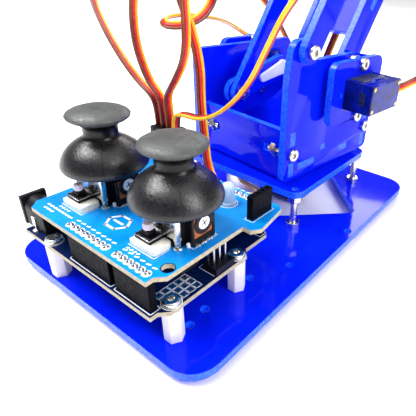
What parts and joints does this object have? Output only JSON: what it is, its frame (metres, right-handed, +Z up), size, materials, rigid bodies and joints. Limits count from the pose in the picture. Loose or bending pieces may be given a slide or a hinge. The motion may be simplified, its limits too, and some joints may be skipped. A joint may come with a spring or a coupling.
{
  "type": "desktop robot arm",
  "caption": "Desktop robot arm of laser-cut sheet: servo turret, parallel-link arm and geared gripper on a plate with a two-joystick control board.",
  "frame": {"origin": "middle of the two bench holes, on the underside of the base plate", "axes": "+Z up, +Y from the joysticks towards the arm, +X to the right"},
  "size_m": [0.1499, 0.3325, 0.1763],
  "materials": {
    "blue_acrylic": "glossy laser-cut cast acrylic",
    "zinc_steel": "zinc-plated machine screws",
    "white_nylon": "moulded nylon",
    "board_dark": "dark blue solder mask",
    "board_light": "blue solder mask",
    "black_plastic": "moulded",
    "bright_metal": "plated",
    "chip_black": "epoxy",
    "clear_led": "clear epoxy dome",
    "servo_blue": "translucent moulded plastic",
    "white_plastic": "moulded",
    "black_rubber": "fine grain",
    "gold_pins": "plated",
    "ribbon_wire": "three-colour servo ribbon"
  },
  "bodies": {
    "base": {"base_plate": "blue_acrylic", "raised_plate": "blue_acrylic", "base_fasteners": "zinc_steel", "board_standoffs": "white_nylon", "controller_board": "board_dark", "board_sockets": "black_plastic", "board_headers": "black_plastic", "board_chips": "chip_black", "shield_board": "board_light", "shield_pins": "gold_pins", "servo_plugs": "black_plastic", "module_socket": "black_plastic", "status_led": "clear_led", "base_servo": "servo_blue", "joystick_frames": "bright_metal", "joystick_sensors": "black_plastic", "cable_base_servo": "ribbon_wire", "cable_left_servo": "ribbon_wire", "cable_right_servo": "ribbon_wire", "cable_gripper_lead": "ribbon_wire"},
    "turret": {"turret_floor": "blue_acrylic", "turret_side_right": "blue_acrylic", "turret_side_left": "blue_acrylic", "turret_front": "blue_acrylic", "turret_middle": "blue_acrylic", "turret_back": "blue_acrylic", "turret_screws": "zinc_steel", "turret_horn": "white_plastic", "servo_collars": "blue_acrylic", "right_servo": "servo_blue", "left_servo": "servo_blue"},
    "upper_arm": {"upper_arm_bars": "blue_acrylic", "upper_arm_brace": "blue_acrylic", "shoulder_horn": "white_plastic", "cable_upper_arm": "ribbon_wire"},
    "elbow_lever": {"elbow_lever": "blue_acrylic", "elbow_lever_horn": "white_plastic"},
    "lever_pin": {"lever_pin": "zinc_steel"},
    "pushrod": {"pushrod": "blue_acrylic"},
    "elbow_triangle": {"elbow_triangle": "blue_acrylic", "triangle_screws": "zinc_steel"},
    "level_link_rear": {"level_link_rear": "blue_acrylic"},
    "level_link_front": {"level_link_front": "blue_acrylic"},
    "forearm": {"forearm_bars": "blue_acrylic", "forearm_brace": "blue_acrylic", "forearm_screws": "zinc_steel", "cable_forearm": "ribbon_wire"},
    "gripper": {"gripper_ears": "blue_acrylic", "gripper_plate": "blue_acrylic", "gripper_servo": "servo_blue", "gripper_screws": "zinc_steel"},
    "claw_drive": {"claw_drive": "blue_acrylic", "claw_horn": "white_plastic"},
    "claw_follower": {"claw_follower": "blue_acrylic"},
    "joystick_right_yoke": {"joystick_yoke_right": "white_plastic"},
    "joystick_right_stick": {"joystick_stick_right": "bright_metal"},
    "joystick_right_cap": {"joystick_cap_right": "black_rubber"},
    "joystick_left_yoke": {"joystick_yoke_left": "white_plastic"},
    "joystick_left_stick": {"joystick_stick_left": "bright_metal"},
    "joystick_left_cap": {"joystick_cap_left": "black_rubber"}
  },
  "joints": [
    {"name": "turret_yaw", "type": "hinge", "parent": "base", "child": "turret", "pos_m": [-0.005, 0.016, 0.0266], "axis": [0, 0, 1], "range_deg": [-84, 96], "deforming": ["cable_base_servo", "cable_left_servo", "cable_right_servo", "cable_gripper_lead"]},
    {"name": "shoulder", "type": "hinge", "parent": "turret", "child": "upper_arm", "pos_m": [0.01465, 0.03173, 0.0563], "axis": [0.9945, -0.1045, 0], "range_deg": [-10, 40], "deforming": ["cable_upper_arm"]},
    {"name": "elbow_leveller", "type": "hinge", "parent": "upper_arm", "child": "elbow_triangle", "pos_m": [0.02321, 0.07394, 0.12385], "axis": [0.9945, -0.1045, 0], "range_deg": [-40, 10]},
    {"name": "elbow", "type": "hinge", "parent": "elbow_triangle", "child": "forearm", "pos_m": [0.01595, 0.0747, 0.12385], "axis": [0.9945, -0.1045, 0], "range_deg": [-35, 5], "deforming": ["cable_forearm"]},
    {"name": "wrist_leveller", "type": "hinge", "parent": "forearm", "child": "gripper", "pos_m": [0.02407, 0.15196, 0.14293], "axis": [0.9945, -0.1045, 0], "range_deg": [-5, 35]},
    {"name": "rear_link_pivot", "type": "hinge", "parent": "turret", "child": "level_link_rear", "pos_m": [0.02269, -0.00752, 0.075], "axis": [0.9945, -0.1045, 0], "range_deg": [-10, 40]},
    {"name": "front_link_pivot", "type": "hinge", "parent": "elbow_triangle", "child": "level_link_front", "pos_m": [0.02522, 0.07775, 0.14985], "axis": [0.9945, -0.1045, 0], "range_deg": [-35, 5]},
    {"name": "elbow_lever_pivot", "type": "hinge", "parent": "turret", "child": "elbow_lever", "pos_m": [-0.02095, 0.03547, 0.0563], "axis": [0.9945, -0.1045, 0], "range_deg": [-35, 5]},
    {"name": "lever_pin_turn", "type": "hinge", "parent": "elbow_lever", "child": "lever_pin", "pos_m": [-0.02412, 0.00534, 0.04886], "axis": [0.9945, -0.1045, 0], "range_deg": [-5, 35]},
    {"name": "pushrod_pivot", "type": "hinge", "parent": "lever_pin", "child": "pushrod", "pos_m": [-0.02094, 0.00501, 0.04886], "axis": [0.9945, -0.1045, 0], "range_deg": [-10, 40]},
    {"name": "grip", "type": "hinge", "parent": "gripper", "child": "claw_drive", "pos_m": [0.00791, 0.18383, 0.14403], "axis": [0, 0, 1], "range_deg": [-6, 34]},
    {"name": "grip_follower", "type": "hinge", "parent": "gripper", "child": "claw_follower", "pos_m": [0.02681, 0.18184, 0.14403], "axis": [0, 0, 1], "range_deg": [-34, 6]},
    {"name": "joystick_right_tilt_x", "type": "hinge", "parent": "base", "child": "joystick_right_yoke", "pos_m": [0.02, -0.0702, 0.039], "axis": [1, 0, 0], "range_deg": [-14, 14], "stiffness_Nm_per_rad": 0.02},
    {"name": "joystick_right_tilt_y", "type": "hinge", "parent": "joystick_right_yoke", "child": "joystick_right_stick", "pos_m": [0.02, -0.0702, 0.039], "axis": [0, 1, 0], "range_deg": [-14, 14], "stiffness_Nm_per_rad": 0.02},
    {"name": "joystick_right_press", "type": "slide", "parent": "joystick_right_stick", "child": "joystick_right_cap", "axis": [0, 0, -1], "range_m": [0, 0.0005], "stiffness_N_per_m": 200, "springref_m": -0.002},
    {"name": "joystick_left_tilt_x", "type": "hinge", "parent": "base", "child": "joystick_left_yoke", "pos_m": [-0.0146, -0.0702, 0.039], "axis": [1, 0, 0], "range_deg": [-14, 14], "stiffness_Nm_per_rad": 0.02},
    {"name": "joystick_left_tilt_y", "type": "hinge", "parent": "joystick_left_yoke", "child": "joystick_left_stick", "pos_m": [-0.0146, -0.0702, 0.039], "axis": [0, 1, 0], "range_deg": [-14, 14], "stiffness_Nm_per_rad": 0.02},
    {"name": "joystick_left_press", "type": "slide", "parent": "joystick_left_stick", "child": "joystick_left_cap", "axis": [0, 0, -1], "range_m": [0, 0.0005], "stiffness_N_per_m": 200, "springref_m": -0.002}
  ],
  "couplings": [
    {"joint": "elbow_leveller", "follows": "shoulder", "ratio": -1},
    {"joint": "wrist_leveller", "follows": "elbow", "ratio": -1},
    {"joint": "rear_link_pivot", "follows": "shoulder", "ratio": 1},
    {"joint": "front_link_pivot", "follows": "elbow", "ratio": 1},
    {"joint": "elbow_lever_pivot", "follows": "elbow", "ratio": 1},
    {"joint": "lever_pin_turn", "follows": "elbow", "ratio": -1},
    {"joint": "pushrod_pivot", "follows": "shoulder", "ratio": 1},
    {"joint": "grip_follower", "follows": "grip", "ratio": -1}
  ]
}
